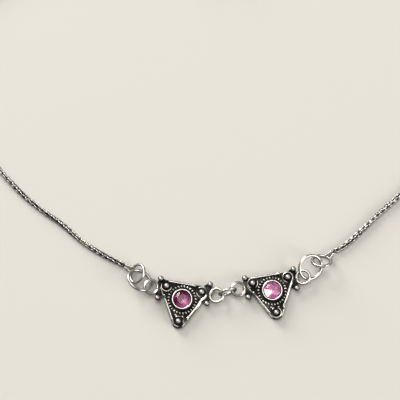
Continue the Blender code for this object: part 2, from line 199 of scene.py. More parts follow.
class RingSizes(PropertyGroup):
    small_radius: length("Soldered ring", 0.001325, "Radius of an ornament's soldered ring")
    small_wire: length("Soldered ring wire", 0.00055, "Wire of a soldered ring")
    small_seat: length("Soldered ring seat", 0.00034, "Ring's soldered side beyond the flank balls")
    small_pitch: angle("Soldered ring pitch", 12, "Rise of a soldered ring from its seat")
    jump_radius: length("Jump ring", 0.00241, "Radius of the big jump rings")
    jump_wire: length("Jump ring wire", 0.00058, "Wire of the big jump rings")
    middle_radius: length("Middle ring", 0.00165, "Radius of the ring between the ornaments")
    middle_wire: length("Middle ring wire", 0.00055, "Wire of the ring between the ornaments")
    end_radius: length("End loop", 0.00185, "Radius of a chain end's loop")
    end_wire: length("End loop wire", 0.00056, "Wire of a chain end's loop")
    cut: length("Ring cut", 0.00004, "Width of the cut where a jump ring closes")
    cap_length: length("Cap length", 0.0014, "Length of the cap that holds the chain")
    cap_small: length("Cap's small end", 0.00052, "Radius of the cap at the chain")
    cap_big: length("Cap's big end", 0.00066, "Radius of the cap at the loop")
    hook_wire: length("Hook wire", 0.00078, "Wire of the hook")
    hook_eye: length("Hook eye", 0.0014, "Radius of the hook's two eyes")
    hook_spread: length("Hook spread", 0.002, "An eye's centre from the hook's middle")
    hook_opening: angle("Hook opening", 55, "Opening of each eye")
    hook_clearance: length("Hook clearance", 0.00015, "Gap between the hook and the loops' wire")


class ChainSizes(PropertyGroup):
    diameter: length("Chain", 0.00105, "Diameter of the chain")
    end_gap: length("End gap", 0.0001, "Gap between a cap and the chain")
    pitch: length("Pitch", 0.00064, "Length that each link adds")
    wire: length("Link wire", 0.00028, "Wire of a link")
    bow: length("Link bow", 0.00075, "Length of a folded link's arms")
    reach: length("Link reach", 0.00032, "A folded link's arms from the chain's middle")
    waist: length("Link waist", 0.00013, "Half the width of a link's pinched middle")
    swell: length("Link swell", 0.00026, "How much wider a link's ends are than its middle")
    fold: angle("Link fold", 135, "How far a link's ends are folded together")
    # Every other link's value is lowered by this share, so it is darker than the rest.
    dull: share("Dull links", 0.5, "How far every other link is rubbed bright, beside the rest")
    twist: FloatProperty(name="Twist", description="Turns of the chain over a metre", default=24.0)


class Finishes(PropertyGroup):
    # Silver shows on worn high spots and on the painted highlight on top.
    silver: colour("Polished silver", (0.80, 0.77, 0.70), "Rubbed high spots")
    patina: colour("Patina", (0.012, 0.0115, 0.011), "Blackened hollows")
    # Tarnish of the rings' wire, also used as the painted shade on the wire's sides.
    tarnish_and_shade: colour("Tarnish", (0.15, 0.146, 0.122), "Flanks of the rings' wire")
    # Each stone's dark and light facet colours: the light ones are the painted glint's colour.
    ruby_dark: colour("Ruby's dark facets", (0.30, 0.03, 0.15), "Left stone")
    ruby_light: colour("Ruby's light facets", (0.72, 0.24, 0.48), "Left stone")
    pink_dark: colour("Pink's dark facets", (0.66, 0.24, 0.46), "Right stone")
    pink_light: colour("Pink's light facets", (0.98, 0.94, 0.97), "Right stone")
    floor: colour("Floor", (0.79, 0.765, 0.705), "Surface that the anklet lies on")


# Grids of points and the surfaces over them

def unit(vectors):
    return vectors / np.linalg.norm(vectors, axis=-1, keepdims=True)


def bearing(degrees):
    """The level unit vector at a bearing."""
    turn = np.radians(degrees)
    return np.stack([np.cos(turn), np.sin(turn), np.zeros_like(turn)], -1)


def turned(points, degrees, centre=(0, 0, 0)):
    """Points turned about Z and then moved to centre."""
    c, s = math.cos(math.radians(degrees)), math.sin(math.radians(degrees))
    return points @ np.array(((c, s, 0), (-s, c, 0), (0, 0, 1))) + np.asarray(centre)


def skin(grid, wear=1.0, loop=False):
    """A closed surface over a grid of rows and columns of points. Each row wraps round. The rows wrap too if
    loop is set, and otherwise a fan closes the first and the last row at its middle."""
    rows, columns, _ = grid.shape
    row = np.arange(rows if loop else rows - 1)[:, None]
    column = np.arange(columns)[None, :]
    after, beside = (row + 1) % rows, (column + 1) % columns
    row, after = row * columns, after * columns
    quads = np.stack([row + column, row + beside, after + beside, after + column], -1).reshape(-1, 4)
    points = grid.reshape(-1, 3)
    shade = np.broadcast_to(np.asarray(wear, float), (rows, columns)).reshape(-1)
    fans = np.empty((0, 3), int)
    if not loop:
        near, beside = np.arange(columns), (np.arange(columns) + 1) % columns
        first, last = np.full(columns, rows * columns), np.full(columns, rows * columns + 1)
        far = (rows - 1) * columns
        fans = np.concatenate([
            np.stack([first, beside, near], -1), np.stack([last, far + near, far + beside], -1),
        ])
        points = np.concatenate([points, grid[0].mean(0, keepdims=True), grid[-1].mean(0, keepdims=True)])
        shade = np.concatenate([shade, shade[:1], shade[-1:]])
    return {"points": points, "faces": [quads, fans], "wear": shade}


def tube(path, radius, up=UP, sides=16, loop=False, wear=1.0, squash=1.0):
    """A round wire along path: at each point, the radius times cos v across and sin v upwards, for v all the
    way round. Across is up x tangent, and squash narrows it."""
    gap = np.roll(path, -1, 0) - np.roll(path, 1, 0) if loop else np.gradient(path, axis=0)
    along = unit(gap)
    across = unit(np.cross(up, along))
    lift = np.cross(along, across)
    v = np.arange(sides) * TURN / sides
    radius = np.broadcast_to(np.asarray(radius, float), len(path))[:, None, None]
    ring = across[:, None] * (np.cos(v) * squash)[:, None] + lift[:, None] * np.sin(v)[:, None]
    return skin(path[:, None] + radius * ring, wear, loop)


def rounded(path, radius, steps=4):
    """The path and radii of a wire with a half ball at each end: sin a of the radius farther out, at cos a of
    it, for a up to nearly a right angle."""
    radius = np.broadcast_to(np.asarray(radius, float), len(path))
    bend = np.linspace(0, math.radians(84), steps + 1)[1:]
    tail, head = unit(path[0] - path[1]), unit(path[-1] - path[-2])
    out, size = np.sin(bend)[:, None], np.cos(bend)
    before, after = path[0] + tail * radius[0] * out, path[-1] + head * radius[-1] * out
    return (
        np.concatenate([before[::-1], path, after]),
        np.concatenate([radius[0] * size[::-1], radius, radius[-1] * size]),
    )


def ball(centre, size, degrees=0.0, sides=20, rings=12, wear=1.0):
    """An ellipsoid: the sizes times half the sines and cosines of latitude and longitude. Its value grows
    with the sine of the latitude, so its underside stays dark: patina at its foot and painted shade below,
    with a painted highlight on top."""
    latitude = (np.arange(1, rings) / rings - 0.5) * math.pi
    longitude = np.arange(sides) * TURN / sides
    grid = np.stack(
        [
            np.cos(latitude)[:, None] * np.cos(longitude),
            np.cos(latitude)[:, None] * np.sin(longitude),
            np.repeat(np.sin(latitude)[:, None], sides, 1),
        ],
        -1,
    ) * np.broadcast_to(size, 3) / 2
    # Painted shade on the underside and a painted highlight on top, over the patina at the foot.
    shade = wear * np.clip(0.5 + np.sin(latitude) * 1.2, 0.05, 1)[:, None]
    return skin(turned(grid.reshape(-1, 3), degrees, centre).reshape(grid.shape), shade)


def slab(discs, bottom, top, edge, ground=0.3, rim=0.8, count=120, fall=17):
    """A plate whose outline is the hull of round discs: at each bearing, the disc that reaches farthest gives
    its centre plus its radius that way. The rows run from the middle below, up the rounded edge, to the
    middle above, each moved in from the outline by its inset. The rim is brighter along the straight
    sides and falls off away from them, so the corners stay dark."""
    centres = np.array([(x, y) for x, y, _ in discs])
    radii = np.array([r for _, _, r in discs])
    facing = bearing(np.arange(count) * (360.0 / count))[:, :2]
    best = np.argmax(facing @ centres.T + radii, 1)
    outline = centres[best] + radii[best, None] * facing
    bend = np.radians((0, 30, 60, 90))
    out, up = edge * (1 - np.sin(bend)), edge * (1 - np.cos(bend))
    inset = np.concatenate([out, up, edge * np.array((1.6, 2.4))])
    height = np.concatenate([bottom + up, top - out, (top, top)])
    turns = np.tile(best != np.roll(best, 1), 3)
    side = np.clip(np.convolve(turns, np.hanning(fall), "same")[count:2 * count], 0, 1)
    wear = np.concatenate([(0.2, 0.3, 0.45, 0.5), np.full(4, rim), (rim * 0.4, ground)])[:, None]
    wear = np.minimum(wear, ground + (rim - ground) * side)
    level = outline[None] - facing[None] * inset[:, None, None]
    grid = np.concatenate([level, np.broadcast_to(height[:, None, None], (*level.shape[:2], 1))], -1)
    return skin(grid, wear)


def ring_pose(centre, tilt, low_side):
    """The three axes and centre of a ring tilted about its middle, with its low side at a bearing."""
    low, side = bearing(low_side), bearing(low_side + 90)
    t = math.radians(tilt)
    return centre, low * math.cos(t) - UP * math.sin(t), side, low * math.sin(t) + UP * math.cos(t)


def ring_points(pose, radius, degrees):
    """Points of a ring at the given angles from its low side."""
    centre, low, side, _ = pose
    turn = np.radians(degrees)[..., None]
    return centre + radius * (np.cos(turn) * low + np.sin(turn) * side)


def resting(centre, radius, wire, tilt):
    """A tilted ring's centre when its low side touches the floor."""
    return np.array((centre[0], centre[1], wire / 2 + radius * math.sin(math.radians(tilt))))


def closed_ring(pose, radius, wire, sides=20):
    """A ring of wire with no cut."""
    return tube(ring_points(pose, radius, np.arange(0, 360, 3.75)), wire / 2, pose[3], sides, loop=True)


def cut_ring(pose, radius, wire, cut_at, cut, sides=20):
    """A jump ring: its wire stops half the cut short of the angle cut_at on both sides, at flat ends."""
    half = math.degrees(cut / 2 / radius)
    path = ring_points(pose, radius, cut_at + np.linspace(half, 360 - half, 97))
    return tube(path, wire / 2, pose[3], sides)


# Materials

class Value:
    """A shader socket that can stand in a Python expression, whose operators add the Math nodes."""

    def __init__(self, finish, socket):
        self.finish, self.socket = finish, socket

    def math(self, operation, *values):
        return self.finish.node("ShaderNodeMath", {"operation": operation}, dict(enumerate(values)))

    def __add__(self, other):
        return self.math("ADD", self, other)

    def __sub__(self, other):
        return self.math("SUBTRACT", self, other)

    def __rsub__(self, other):
        return self.math("SUBTRACT", other, self)

    def __mul__(self, other):
        return self.math("MULTIPLY", self, other)

    __radd__, __rmul__ = __add__, __mul__


class Finish:
    """A material and the one way to add its nodes."""

    def __init__(self, name):
        self.material = bpy.data.materials.new(name)
        self.material.use_nodes = True
        self.nodes, self.links = self.material.node_tree.nodes, self.material.node_tree.links
        self.shader = self.nodes["Principled BSDF"]
        self.place = self.node("ShaderNodeTexCoord", {}, {}, "Object")
        self.facing = self.node("ShaderNodeTexCoord", {}, {}, "Normal")

    def node(self, kind, settings, inputs, output=0):
        """A node with its settings, then its sockets' values or links. It gives the named output."""
        made = self.nodes.new(kind)
        for key, value in settings.items():
            setattr(made, key, value)
        self.feed(made, inputs)
        return Value(self, made.outputs[output])

    def feed(self, made, inputs):
        for key, value in inputs.items():
            if isinstance(value, Value):
                self.links.new(value.socket, made.inputs[key])
            else:
                made.inputs[key].default_value = value

    def noise(self, scale, detail=2.0):
        return self.node("ShaderNodeTexNoise", {}, {"Vector": self.place, "Scale": scale, "Detail": detail})

    def between(self, value, low, high):
        """0 below low, 1 above high, and smooth between."""
        return self.node(
            "ShaderNodeMapRange", {"interpolation_type": "SMOOTHSTEP"},
            {"Value": value, "From Min": low, "From Max": high},
        )

    def blend(self, factor, first, second):
        """From colour first to colour second."""
        first, second = ((*c, 1) if isinstance(c, (tuple, list)) else c for c in (first, second))
        return self.node("ShaderNodeMix", {"data_type": "RGBA"}, {0: factor, 6: first, 7: second}, 2)

    def bump(self, height, distance, strength=1.0):
        return self.node("ShaderNodeBump", {}, {"Height": height, "Distance": distance, "Strength": strength})


def silver_finish(
    name, finishes, hollow_and_shade="patina", rub=(0.25, 0.75), flank=(0.3, 0.9), polish=0.16, dent=0.000012,
    patchy=0.1, blotches=900,
):
    """Silver in its hollows' colour where it is little worn, and in that colour as painted shade where it
    faces aside; silver where it is worn and faces up, as a painted highlight on top, in patches, with fine
    dents and pits."""
    finish = Finish(name)
    wear = finish.node("ShaderNodeAttribute", {"attribute_name": "wear"}, {}, "Fac")
    up = finish.node("ShaderNodeSeparateXYZ", {}, {0: finish.facing}, "Z")
    pits = finish.noise(2600, 3)
    cloud = finish.noise(700)
    blotch = finish.between(finish.noise(blotches, 1), 0.3, 0.7)
    # Painted light by facing: surfaces facing up get a painted highlight, and surfaces facing aside get
    # painted shade in the hollows' colour.
    lit = finish.between(up, *flank)
    uneven = (blotch - 0.5) * patchy + (cloud - 0.5) * 0.3 + (pits - 0.5) * 0.15
    rubbed_and_lit = finish.between(wear * lit + uneven, *rub)
    finish.feed(finish.shader, {
        "Base Color": finish.blend(rubbed_and_lit, tuple(getattr(finishes, hollow_and_shade)), tuple(finishes.silver)),
        "Roughness": 0.6 + rubbed_and_lit * (polish - 0.6) + pits * 0.1,
        "Metallic": rubbed_and_lit,
        "Specular IOR Level": 0.2,
        "Normal": finish.bump(cloud + pits * 0.3, dent),
    })
    return finish.material


def stone_finish(name, dull):
    """Clear stone, a little cloudy inside and painted paler where its foil is light and dull, as part of the
    painted glint.
    """
    finish = Finish(name)
    cloud = finish.noise(900)
    tone = finish.node("ShaderNodeAttribute", {"attribute_name": "tone"}, {}, "Fac")
    tint = finish.blend(cloud, (0.9, 0.72, 0.82), (1.0, 0.86, 0.94))
    finish.feed(finish.shader, {
        # Painted glint: the crown is painted towards white over the foil's lit facets.
        "Base Color": finish.blend(tone * dull, tint, (1.0, 1.0, 1.0)),
        "Roughness": 0.0,
        "IOR": 1.5,
        "Specular IOR Level": 0.15,
        "Transmission Weight": 1.0,
    })
    return finish.material


def foil_finish(name, dark, light, dull, glow):
    """Coloured mirror behind a stone, from dark to a light and dull one at the painted glint, and glowing as
    painted light.
    """
    finish = Finish(name)
    tone = finish.node("ShaderNodeAttribute", {"attribute_name": "tone"}, {}, "Fac")
    cloud = finish.noise(1200)
    finish.feed(finish.shader, {
        # Painted glint: facets towards the lit bearing are painted in the light colour and made dull.
        "Base Color": finish.blend(tone + (cloud - 0.5) * 0.2, tuple(dark), tuple(light)),
        "Roughness": 0.45 + cloud * 0.1,
        "Metallic": 1.0 - tone * dull,
        # Painted glow: the foil gives off light though it is no lamp, faint on the dark facets and strongest
        # at the painted glint.
        "Emission Color": finish.blend(tone, tuple(part * 0.2 for part in dark), tuple(light)),
        "Emission Strength": glow,
    })
    return finish.material


def floor_finish(finishes):
    finish = Finish("pale floor")
    cloud = finish.noise(6)
    tint = tuple(finishes.floor)
    finish.feed(finish.shader, {
        "Base Color": finish.blend(cloud, tuple(part * 0.97 for part in tint), tint),
        "Roughness": 0.7 + cloud * 0.1,
        "Specular IOR Level": 0.2,
    })
    return finish.material


def silver(context, name):
    """The silver finish of that name, made at its first use."""
    made = bpy.data.materials.get(name)
    return made or silver_finish(name, context.scene.anklet_finishes, **SILVERS[name])


def piece(name, surfaces, materials, replaces=(), flat=False, tints=None, crease=50):
    """One object made of the surfaces, which rides on the root body. tints gives each surface's material."""
    starts = np.cumsum([0] + [len(surface["points"]) for surface in surfaces[:-1]])
    faces, tint = [], []
    for index, (start, surface) in enumerate(zip(starts, surfaces)):
        own = [face for block in surface["faces"] for face in (block + start).tolist()]
        faces += own
        tint += [tints[index] if tints else 0] * len(own)
    mesh = bpy.data.meshes.new(name)
    mesh.from_pydata(np.concatenate([surface["points"] for surface in surfaces]).tolist(), [], faces)
    wear = np.concatenate([surface["wear"] for surface in surfaces]).astype(np.float32)
    mesh.attributes.new("wear", "FLOAT", "POINT").data.foreach_set("value", wear)
    for material in materials:
        mesh.materials.append(material)
    mesh.polygons.foreach_set("material_index", tint)
    if flat:
        mesh.shade_flat()
    else:
        mesh.shade_smooth()
        mesh.set_sharp_from_angle(angle=math.radians(crease))
    made = bpy.data.objects.new(name, mesh)
    bpy.context.scene.collection.objects.link(made)
    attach(made, "root")
    if replaces:
        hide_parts(*replaces)
    return made


# Lie of the ornaments and rings

def corners(sizes):
    """The corner balls' centres, clockwise from the upper left, around the triangle's middle."""
    return np.array((
        (-sizes.width / 2, sizes.height / 3, 0), (sizes.width / 2, sizes.height / 3, 0),
        (0, -sizes.height * 2 / 3, 0),
    ))


def drops(side):
    """Drop of the row's line at the left (-1) and the right (1) tab."""
    row = ORNAMENTS[side]
    return {SIDES[side]: row["outer_drop"], -SIDES[side]: row["inner_drop"]}


def tab_middle(sizes, hand, drop):
    return np.array((hand * (sizes.width / 2 + sizes.flank_reach), sizes.height * (1 / 3 - drop), 0))


def small_ring_middle(sizes, rings, hand, drop):
    reach = rings.small_seat + rings.small_radius * math.cos(rings.small_pitch)
    rise = sizes.plate + rings.small_radius * math.sin(rings.small_pitch)
    return tab_middle(sizes, hand, drop) + np.array((hand * reach, 0, rise))


def ornament_middle(side):
    """Middle of an ornament's triangle, where its stone sits."""
    low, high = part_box("stone_" + side)
    return np.array(((low.x + high.x) / 2, (low.y + high.y) / 2, 0))


def placed(surfaces, side):
    """Surfaces of an ornament, from its own frame to where it lies."""
    for surface in surfaces:
        surface["points"] = turned(surface["points"], ORNAMENTS[side]["turn"], ornament_middle(side))
    return surfaces


def ornament_piece(name, side, surfaces, finish):
    """A piece of one ornament, put where the ornament lies."""
    return piece(f"{name}_{side}", placed(surfaces, side), [finish], ["motif_" + side])


def node_middle(node):
    low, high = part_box(node)
    return np.array((low + high) / 2)


def end_loops(rings):
    """Pose of each chain end's loop, with the angle of its joint and the bearing of its cap."""
    loops = {}
    for side in SIDES:
        gap = END_SPREADS[side] * (rings.jump_radius + rings.end_radius)
        middle = node_middle("jump_ring_" + side) + gap * bearing(END_BEARINGS[side])
        node = f"chain_end_{side}_front"
        lie = END_POSES[node]
        centre = resting(middle, rings.end_radius, rings.end_wire, lie["tilt"])
        loops[node] = (ring_pose(centre, lie["tilt"], lie["low_side"]), lie["joint"], lie["cone"])

    hook = node_middle("clasp_hook")
    high = rings.end_wire / 2 + rings.end_radius
    reach = math.sqrt(rings.end_radius**2 - (high - hook[2]) ** 2)
    wires = (rings.hook_wire + rings.end_wire) / 2
    inside = rings.hook_spread + rings.hook_eye - wires - rings.hook_clearance
    joint = math.degrees(math.acos((high - rings.cap_big) / rings.end_radius))
    for side, hand in SIDES.items():
        centre = np.array((hook[0] + hand * (inside + reach), hook[1], high))
        loops[f"chain_end_{side}_back"] = (ring_pose(centre, 90, 90), -hand * joint, 90 - hand * 90)
    return loops


def cap_line(rings, chain, pose, joint, cap):
    """Where a cap starts on its loop, where it ends, and where the chain starts."""
    big = ring_points(pose, rings.end_radius, joint)
    big[2] = rings.cap_big
    small = big + bearing(cap) * rings.cap_length
    small[2] = max(chain.diameter / 2, rings.cap_small)
    start = small + bearing(cap) * chain.end_gap
    start[2] = chain.diameter / 2
    return big, small, start


# Operators, one for each piece or group of like pieces

class ANKLET_OT_plates(Operator):
    """Build the ornaments' plates with their tabs"""

    bl_idname = "anklet.plates"
    bl_label = "Plates"

    def execute(self, context):
        sizes, rings = context.scene.anklet_ornament, context.scene.anklet_rings
        finish = silver(context, "dark plate")
        for side in SIDES:
            places = corners(sizes)
            shapes = [slab([(x, y, sizes.margin) for x, y, _ in places], 0, sizes.plate, sizes.edge)]
            for hand, drop in drops(side).items():
                x, y, _ = tab_middle(sizes, hand, drop)
                corner, margin = places[int(hand > 0)], sizes.tab_margin
                web = [(*corner[:2], sizes.curl_radius), (x + hand * rings.small_seat, y, margin)]
                web += [(x, y + step * sizes.flank_spread, margin) for step in (-1, 1)]
                low, high = TAB_INSETS[0], sizes.plate - TAB_INSETS[1]
                shapes.append(slab(web, low, high, sizes.edge * 0.6, rim=0.5))
            ornament_piece("ornament_plate", side, shapes, finish)
        return {"FINISHED"}


def border_wire(sizes, corner, after):
    """A wire curled clockwise round a corner ball that runs on straight to a swollen end short of the next
    curl. The curl is thin. With t from 0 to 1 along the straight run, the radius is 1.27 - 0.35 t of the
    wire's, and a half is added at its end."""
    along = unit(after - corner)
    outward = math.degrees(math.atan2(along[1], along[0])) + 90
    sweep = math.degrees(sizes.curl_sweep)
    turn = np.linspace(outward + sweep, outward, 40)
    curl = corner + bearing(turn) * sizes.curl_radius
    run = np.linalg.norm(after - corner) - sizes.curl_radius - sizes.curl_end_gap
    straight = curl[-1] + along * (np.linspace(0, 1, 25)[1:, None] * run)
    path = np.concatenate([curl, straight])
    t = np.concatenate([np.linspace(-1, 0, len(curl)), np.linspace(0, 1, len(straight))])
    run_on = np.clip(t * 9 + 0.4, 0, 1)
    thick = 0.72 + run_on * (0.55 - 0.35 * t + 0.5 * np.clip(t * 8 - 7, 0, 1))
    radius = sizes.curl_wire / 2 * thick
    path[:, 2] = sizes.plate + radius * 0.86
    path, radius = rounded(path, radius)
    wear = 0.5 + 0.5 * np.pad(run_on, 4, mode="edge")
    return tube(path, radius, sides=14, wear=wear[:, None])


class ANKLET_OT_border_wires(Operator):
    """Build the curled wires along the ornaments' sides"""

    bl_idname = "anklet.border_wires"
    bl_label = "Border wires"

    def execute(self, context):
        sizes = context.scene.anklet_ornament
        finish = silver(context, "border wire")
        for side in SIDES:
            places = corners(sizes)
            wires = [border_wire(sizes, places[i], places[(i + 1) % 3]) for i in range(3)]
            ornament_piece("border_wires", side, wires, finish)
        return {"FINISHED"}


class ANKLET_OT_balls(Operator):
    """Build the corner balls, the balls beside the rings and the granules"""

    bl_idname = "anklet.balls"
    bl_label = "Balls"

    def execute(self, context):
        sizes = context.scene.anklet_ornament
        finish = silver(context, "ball work")
        top = sizes.plate + sizes.ball_rest
        for side in SIDES:
            places = corners(sizes)
            shapes = [ball(place + UP * top, sizes.corner_ball, sides=32, rings=20) for place in places]
            for hand, drop in drops(side).items():
                for step in (-1, 1):
                    flank = tab_middle(sizes, hand, drop) + np.array((0, step * sizes.flank_spread, top))
                    shapes.append(ball(flank, sizes.flank_ball, sides=28, rings=18))
            for across, up in GRANULES:
                place = places[2] + np.array((across, up, 0)) * sizes.corner_ball + UP * sizes.plate
                shapes.append(ball(place, sizes.granule, wear=1.7))
            ornament_piece("corner_balls", side, shapes, finish)
        return {"FINISHED"}


class ANKLET_OT_bead_rings(Operator):
    """Build the ring of long beads round each bezel"""

    bl_idname = "anklet.bead_rings"
    bl_label = "Bead rings"

    def execute(self, context):
        sizes = context.scene.anklet_ornament
        finish = silver(context, "bead work")
        size = (sizes.bead_length, sizes.bead_width, sizes.bead_width)
        height = sizes.plate + sizes.bead_width / 4
        for side in SIDES:
            turns = np.arange(sizes.bead_count) * 360 / sizes.bead_count
            beads = [
                ball(bearing(turn) * sizes.bead_ring + UP * height, size, turn, 14, 10) for turn in turns
            ]
            ornament_piece("bead_ring", side, beads, finish)
        return {"FINISHED"}


def bezel_wall(sizes, stone, steps=192, stroke=0.000012, lip_zone=0.00016):
    """The bezel: its section carried round. It runs up the outer wall, over the round lip and down inside.
    Hammer strokes press the lip in and out by two cosines, of 48 and 13 waves to a turn."""
    inner = stone.diameter / 2 + stone.clearance
    outer = inner + sizes.bezel_wall
    top = sizes.plate + sizes.bezel_height
    bend = np.radians((0, 22, 45, 68, 90, 112, 135, 158))
    lip = (outer - inner + sizes.bezel_lip) / 2
    reach = np.concatenate([
        (outer, outer), outer - lip + lip * np.cos(bend), (inner - sizes.bezel_lip, inner, inner),
    ])
    rise = np.concatenate([
        (sizes.plate * 0.8, sizes.plate + sizes.bezel_height * 0.4), top - lip * (1 - np.sin(bend)),
        (top - lip * 0.9, top - lip * 1.3, sizes.plate * 0.8),
    ])
    turn = np.arange(steps) * 360 / steps
    strokes = np.cos(np.radians(turn) * 48) * 0.5 + np.cos(np.radians(turn) * 13 + 1) * 0.3
    near_lip = np.exp(-(((rise - top) / lip_zone) ** 2))
    radius = reach[:, None] + near_lip[:, None] * strokes * stroke
    height = rise[:, None] - near_lip[:, None] * (1 - strokes) * stroke
    grid = radius[..., None] * bearing(turn)[None] + height[..., None] * UP
    wear = np.clip(0.35 + 0.65 * near_lip, 0, 1)
    return skin(grid, wear[:, None], loop=True)


class ANKLET_OT_bezels(Operator):
    """Build the bezels that hold the stones"""

    bl_idname = "anklet.bezels"
    bl_label = "Bezels"

    def execute(self, context):
        sizes, stone = context.scene.anklet_ornament, context.scene.anklet_stone
        finish = silver(context, "bright work")
        for side in SIDES:
            ornament_piece("bezel", side, [bezel_wall(sizes, stone)], finish)
        return {"FINISHED"}


def cut_stone(sizes, stone, tip_out=1.02, tip_up=0.58, deep_out=0.25, deep_up=0.22):
    """A round brilliant as rings of corners: the table's, the star facets' tips, the girdle's two rings, the
    pavilion's and the point. The tips and the pavilion's corners lie out and up by the given shares. Two
    surfaces: crown, pavilion."""
    point = sizes.plate + stone.floor
    girdle = point + stone.culet
    top = girdle + stone.girdle + stone.crown
    radius, count = stone.diameter / 2, stone.mains
    step = 360 / count
    table = bearing(np.arange(count) * step) * radius * stone.table + UP * top
    tips = bearing((np.arange(count) + 0.5) * step) * radius * (stone.table + 1) / 2 * tip_out
    tips = tips + UP * (girdle + stone.girdle + stone.crown * tip_up)
    rim = bearing(np.arange(2 * count) * step / 2) * radius
    upper, lower = rim + UP * (girdle + stone.girdle), rim + UP * girdle
    deep = bearing((np.arange(count) + 0.5) * step) * radius * deep_out
    deep = deep + UP * (point + stone.culet * deep_up)
    i = np.arange(count)
    j = (i + 1) % count
    crown = np.concatenate([table, tips, upper, lower])
    t, s, u, w = 0, count, 2 * count, 4 * count
    around = np.arange(2 * count)
    beside = (around + 1) % (2 * count)
    crown_faces = [
        (t + i)[None],
        np.stack([t + i, s + i, t + j], -1),
        np.stack([t + i, s + (i - 1) % count, u + 2 * i, s + i], -1),
        np.stack([s + i, u + 2 * i, u + 2 * i + 1], -1),
        np.stack([s + i, u + 2 * i + 1, u + (2 * i + 2) % (2 * count)], -1),
        np.stack([u + around, w + around, w + beside, u + beside], -1),
    ]
    base = np.concatenate([lower, deep, [UP * point]])
    g, d, p = 0, 2 * count, 3 * count
    base_faces = [
        np.stack([g + 2 * i + 1, g + 2 * i, d + i], -1),
        np.stack([g + (2 * i + 2) % (2 * count), g + 2 * i + 1, d + i], -1),
        np.stack([g + 2 * j, d + i, np.full(count, p), d + j], -1),
    ]
    return [
        {"points": crown, "faces": crown_faces, "wear": np.ones(len(crown))},
        {"points": base, "faces": base_faces, "wear": np.ones(len(base))},
    ]


def shade_facets(mesh, middle, lit, spread, fade):
    """Painted glint on each facet: 1 near the lit bearing and a half at the spread to either side of it, with
    0 and 1 half the fade before and past the spread."""
    centres = np.empty(len(mesh.polygons) * 3)
    mesh.polygons.foreach_get("center", centres)
    across, along = (centres.reshape(-1, 3) - middle)[:, :2].T
    away = np.abs((np.degrees(np.arctan2(along, across)) - lit + 180) % 360 - 180)
    tone = np.clip(0.5 + (spread - away) / fade, 0, 1)
    mesh.attributes.new("tone", "FLOAT", "FACE").data.foreach_set("value", tone.astype(np.float32))


class ANKLET_OT_stones(Operator):
    """Build the two cut stones with foil behind"""

    bl_idname = "anklet.stones"
    bl_label = "Stones"

    def execute(self, context):
        sizes, stone = context.scene.anklet_ornament, context.scene.anklet_stone
        finishes = context.scene.anklet_finishes
        for side, look in STONES.items():
            slot, dull = look["slot"], look["dull"]
            tints = [getattr(finishes, look["tint"] + tone) for tone in ("_dark", "_light")]
            materials = [stone_finish(slot, dull), foil_finish(slot + "_foil", *tints, dull, look["glow"])]
            shapes, node = placed(cut_stone(sizes, stone), side), "stone_" + side
            made = piece("cut_" + node, shapes, materials, [node], flat=True, tints=[0, 1])
            shade_facets(made.data, ornament_middle(side), *look["lit"])
            weld = made.modifiers.new("girdle", "WELD")
            weld.merge_threshold = 0.000001
        return {"FINISHED"}


class ANKLET_OT_rings(Operator):
    """Build the soldered rings, the jump rings and the middle ring"""

    bl_idname = "anklet.rings"
    bl_label = "Rings"

    def execute(self, context):
        sizes, rings = context.scene.anklet_ornament, context.scene.anklet_rings
        finish = silver(context, "round wire")
        for side in SIDES:
            shapes = []
            for hand, drop in drops(side).items():
                middle = small_ring_middle(sizes, rings, hand, drop)
                pose = ring_pose(middle, math.degrees(rings.small_pitch), 180 if hand > 0 else 0)
                shapes.append(closed_ring(pose, rings.small_radius, rings.small_wire))
                solder = ring_points(pose, rings.small_radius * 0.98, 0)
                shapes.append(ball(solder + UP * SOLDER_RISE, SOLDER_LUMP))
            ornament_piece("soldered_rings", side, shapes, finish)
        for node, lie in RING_POSES.items():
            radius, wire = (
                (rings.middle_radius, rings.middle_wire) if node == "middle_link"
                else (rings.jump_radius, rings.jump_wire)
            )
            centre = resting(node_middle(node), radius, wire, lie["tilt"])
            pose = ring_pose(centre, lie["tilt"], lie["low_side"])
            ring = cut_ring(pose, radius, wire, lie["cut"], rings.cut)
            piece("round_" + node, [ring], [finish], [node])
        return {"FINISHED"}


def cap_shapes(rings, big, small):
    """A dark cap that flares from the chain to the loop, between two bright strands that part like a Y. Each
    strand's distance from the middle follows the square of the way back from the chain."""
    t = np.linspace(0, 1, 14)
    line = big + (small - big) * t[:, None]
    narrow, wide = rings.cap_small * 0.86, rings.cap_big * 0.9
    flare = narrow + (wide - narrow) * (1 - t) ** 2
    shapes = [tube(line, flare, sides=24, wear=0.3)]
    beside = unit(np.cross(UP, small - big))
    near, parting = rings.cap_small * 0.55, rings.cap_big - rings.cap_small * 0.75
    part = near + parting * (1 - t) ** 2
    for hand in (-1, 1):
        strand = line + beside * (hand * part)[:, None] + UP * (rings.cap_small * 0.42)
        shapes.append(tube(*rounded(strand, rings.end_wire * 0.3), sides=12))
    return shapes


class ANKLET_OT_chain_ends(Operator):
    """Build the chain ends: a loop and the flared cap that holds the chain"""

    bl_idname = "anklet.chain_ends"
    bl_label = "Chain ends"

    def execute(self, context):
        rings, chain = context.scene.anklet_rings, context.scene.anklet_chain
        finish = silver(context, "round wire")
        for node, (pose, joint, cap) in end_loops(rings).items():
            loop = closed_ring(pose, rings.end_radius, rings.end_wire)
            big, small, _ = cap_line(rings, chain, pose, joint, cap)
            shapes = [loop, *cap_shapes(rings, big, small)]
            piece("round_" + node, shapes, [finish], [node])
        return {"FINISHED"}


